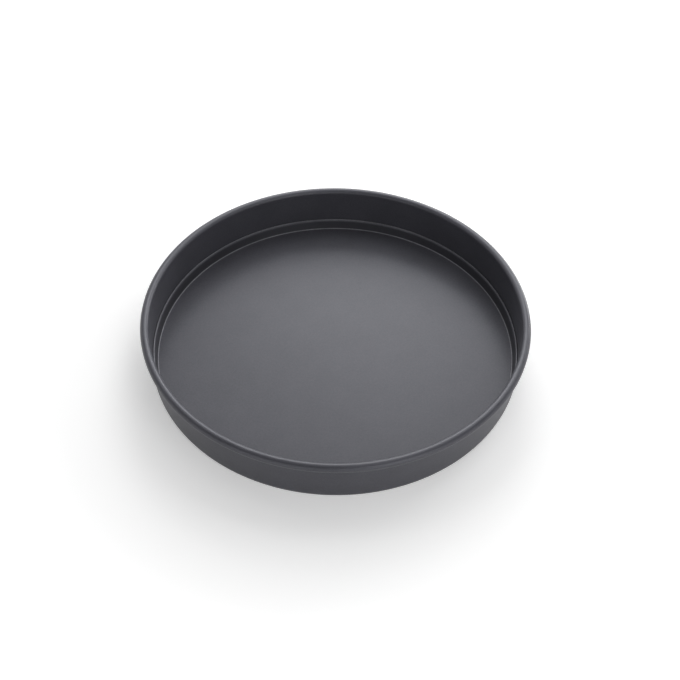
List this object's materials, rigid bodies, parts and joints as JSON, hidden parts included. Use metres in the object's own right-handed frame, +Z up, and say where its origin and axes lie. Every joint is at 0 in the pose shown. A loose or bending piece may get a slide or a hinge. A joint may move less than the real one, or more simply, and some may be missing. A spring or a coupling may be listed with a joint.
{
  "type": "cake pan",
  "caption": "Round straight-sided cake pan in dark grey satin metal, with a rolled rim and a loose dished base that rests on an inward ledge and pushes up to free the cake.",
  "frame": {"origin": "centre of the pan, on the surface that it stands on", "axes": "+Z up along the pan's axis, from the foot to the rim; X and Y are alike because the pan is round"},
  "size_m": [0.24, 0.24, 0.034],
  "materials": {
    "anodised_ring": "dark grey hard-anodised satin",
    "anodised_base": "dark grey hard-anodised satin",
    "steel_wire": "bare drawn wire"
  },
  "bodies": {
    "ring": {"side_ring": "anodised_ring", "rim_wire": "steel_wire"},
    "base": {"loose_base": "anodised_base"}
  },
  "joints": [
    {"name": "base_lift", "type": "slide", "parent": "ring", "child": "base", "axis": [0, 0, 1], "range_m": [0, 0.04]}
  ]
}
